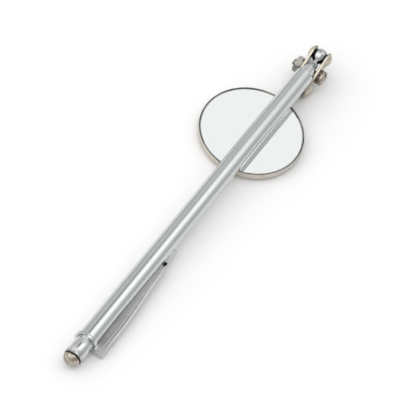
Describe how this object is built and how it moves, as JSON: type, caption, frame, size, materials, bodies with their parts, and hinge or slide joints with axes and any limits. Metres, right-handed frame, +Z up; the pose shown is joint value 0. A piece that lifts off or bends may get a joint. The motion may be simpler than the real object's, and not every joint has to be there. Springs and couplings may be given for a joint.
{
  "type": "telescopic inspection mirror",
  "caption": "Pocket telescopic inspection mirror: chrome pen handle with clip, swivelling double ball link clamped by a screw, and a round mirror folded under the handle.",
  "frame": {"origin": "centre of the footprint on the surface that the folded tool lies on", "axes": "+X along the handle's floor direction towards the ball link, +Y to the side away from the pocket clip, +Z up, out of the mirror's face"},
  "size_m": [0.1396, 0.0324, 0.011],
  "materials": {
    "handle_chrome": "polished chrome plate on a drawn tube",
    "cap_chrome": "polished chrome plate, turned",
    "button_nickel": "polished nickel plate",
    "clip_chrome": "polished chrome plate on pressed sheet",
    "section_chrome": "polished chrome plate",
    "rod_chrome": "polished chrome plate",
    "bush_brass": "bare turned brass",
    "ball_steel": "polished nickel plate",
    "plate_nickel": "nickel plate on pressed sheet",
    "screw_nickel": "nickel plate",
    "nut_nickel": "nickel plate",
    "washer_steel": "oiled spring steel",
    "flat_washer_nickel": "nickel plate",
    "mirror_ball_steel": "polished nickel plate",
    "stem_nickel": "polished nickel plate",
    "strap_nickel": "nickel plate on pressed sheet",
    "case_nickel": "nickel plate on spun sheet",
    "mirror_face": "silvered glass",
    "pad_card": "pressed card"
  },
  "bodies": {
    "handle": {"handle_tube": "handle_chrome", "butt_cap": "cap_chrome", "end_button": "button_nickel", "pocket_clip": "clip_chrome"},
    "section_1": {"section_1": "section_chrome", "slide_bush_1": "bush_brass"},
    "section_2": {"section_2": "section_chrome", "slide_bush_2": "bush_brass"},
    "section_3": {"section_3": "section_chrome", "slide_bush_3": "bush_brass"},
    "rod_bush": {"slide_bush_4": "bush_brass"},
    "rod": {"tip_rod": "rod_chrome", "tip_ball_stud": "ball_steel"},
    "link": {"link_plate_left": "plate_nickel", "link_plate_right": "plate_nickel", "clamp_screw": "screw_nickel", "clamp_nut": "nut_nickel", "lock_washer": "washer_steel", "flat_washer": "flat_washer_nickel"},
    "mirror_ball": {"mirror_ball": "mirror_ball_steel"},
    "mirror_stem": {"mirror_stem": "stem_nickel"},
    "mirror": {"mirror_strap": "strap_nickel", "mirror_case": "case_nickel", "mirror_pad": "pad_card", "mirror_glass": "mirror_face"}
  },
  "joints": [
    {"name": "section_1_slide", "type": "slide", "parent": "handle", "child": "section_1", "axis": [0.9992, 0, 0.0392], "range_m": [0, 0.095]},
    {"name": "section_2_slide", "type": "slide", "parent": "section_1", "child": "section_2", "axis": [0.9992, 0, 0.0392], "range_m": [0, 0.095]},
    {"name": "section_3_slide", "type": "slide", "parent": "section_2", "child": "section_3", "axis": [0.9992, 0, 0.0392], "range_m": [0, 0.095]},
    {"name": "rod_slide", "type": "slide", "parent": "section_3", "child": "rod_bush", "axis": [0.9992, 0, 0.0392], "range_m": [0, 0.095]},
    {"name": "rod_swivel", "type": "hinge", "parent": "rod_bush", "child": "rod", "pos_m": [0.06727, -0.00252, 0.00844], "axis": [0.9992, 0, 0.0392], "continuous": true},
    {"name": "link_swing", "type": "hinge", "parent": "rod", "child": "link", "pos_m": [0.06727, -0.00252, 0.00844], "axis": [0, -1, 0], "range_deg": [0, 210]},
    {"name": "mirror_swing", "type": "hinge", "parent": "link", "child": "mirror_ball", "pos_m": [0.05802, -0.00252, 0.0025], "axis": [0, -1, 0], "range_deg": [0, 150]},
    {"name": "mirror_yaw", "type": "hinge", "parent": "mirror_ball", "child": "mirror_stem", "pos_m": [0.05802, -0.00252, 0.0025], "axis": [0.0392, 0, -0.9992], "range_deg": [-20, 9]},
    {"name": "mirror_roll", "type": "hinge", "parent": "mirror_stem", "child": "mirror", "pos_m": [0.05802, -0.00252, 0.0025], "axis": [0.9945, -0.0976, 0.039], "range_deg": [-4, 30]}
  ]
}
